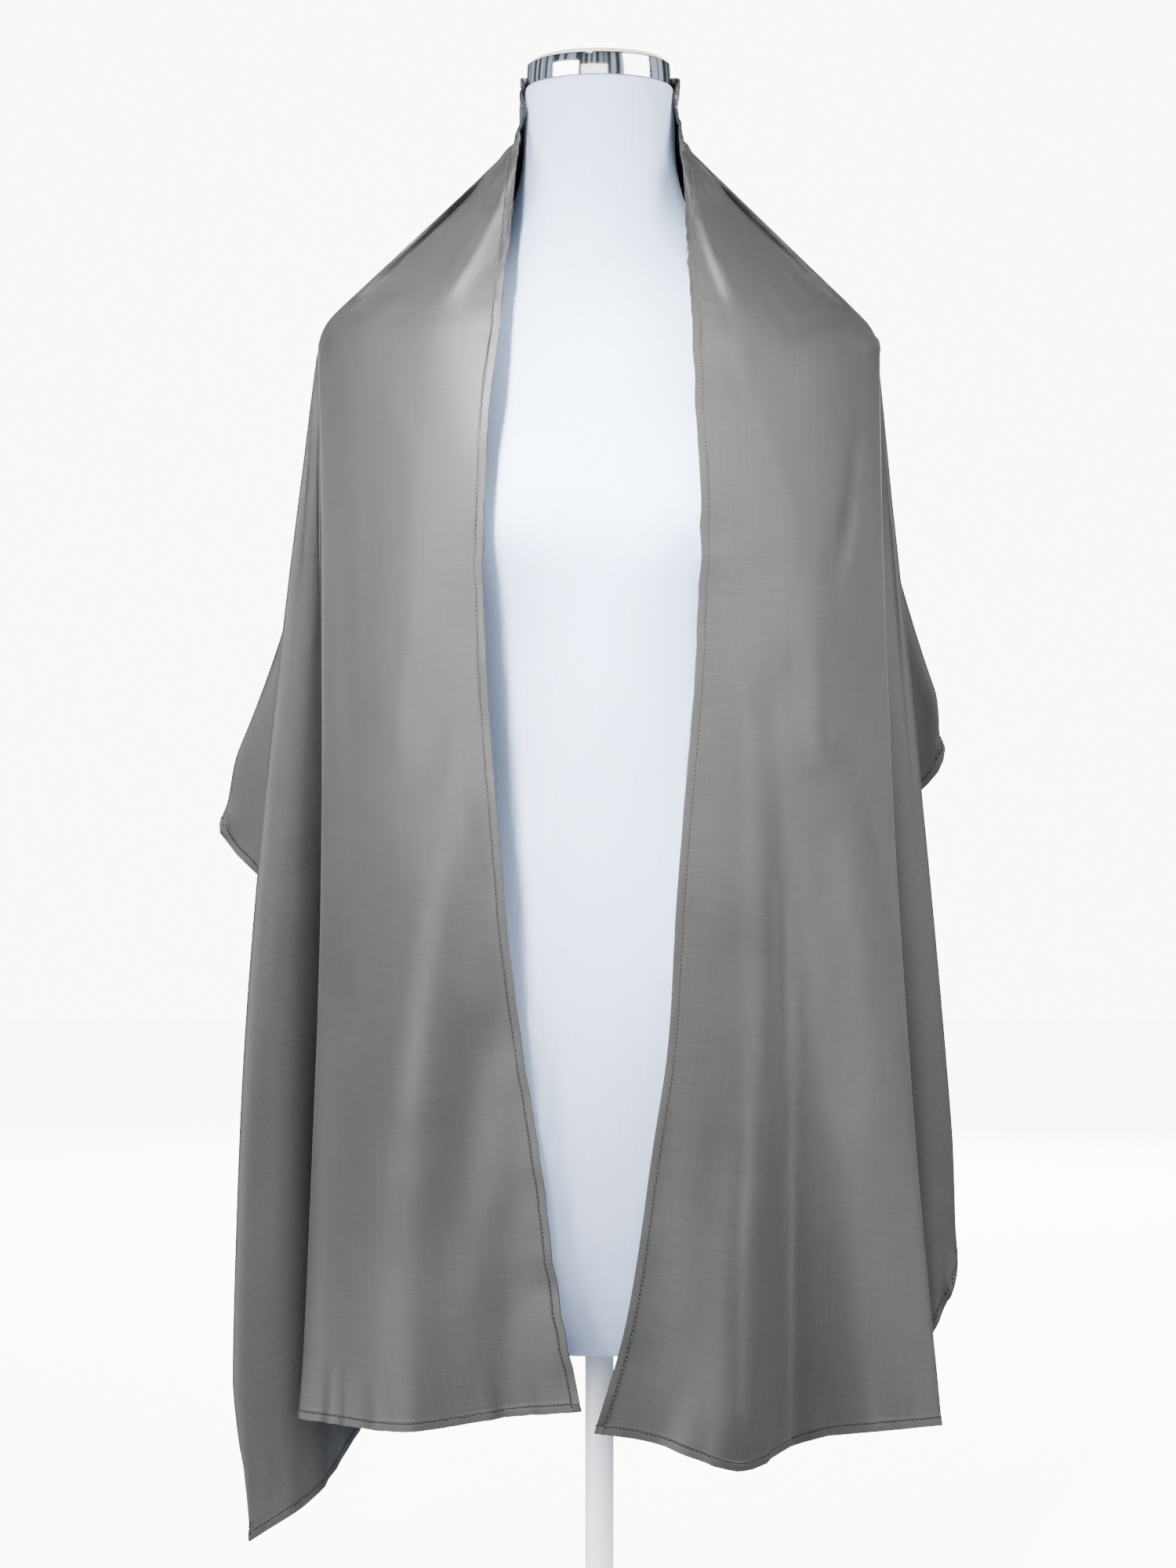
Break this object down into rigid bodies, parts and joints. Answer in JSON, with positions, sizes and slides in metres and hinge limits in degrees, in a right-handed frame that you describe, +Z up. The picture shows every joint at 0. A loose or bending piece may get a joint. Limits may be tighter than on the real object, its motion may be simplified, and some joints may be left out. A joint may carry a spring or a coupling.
{
  "type": "evening stole on a limbless dress form",
  "caption": "Plain satin evening stole draped over the shoulders of a limbless dress form on a slim pole and round base.",
  "frame": {"origin": "middle of the base plate's underside, on the floor", "axes": "+Z up; -Y toward the front, where the stole opens; +X toward the right of the picture"},
  "size_m": [0.5416, 0.3179, 1.1072],
  "materials": {
    "satin": "grey polyester satin with a soft sheen",
    "cover": "smooth white stretch cover",
    "ring": "polished chrome band",
    "cap": "cream moulded cap",
    "stand": "white powder coat"
  },
  "bodies": {
    "root": {"stole_left_fall": "satin", "stole_back": "satin", "stole_right_fall": "satin", "form_body": "cover", "neck_ring": "ring", "neck_cap": "cap", "stand_pole": "stand", "stand_base": "stand"}
  },
  "joints": []
}
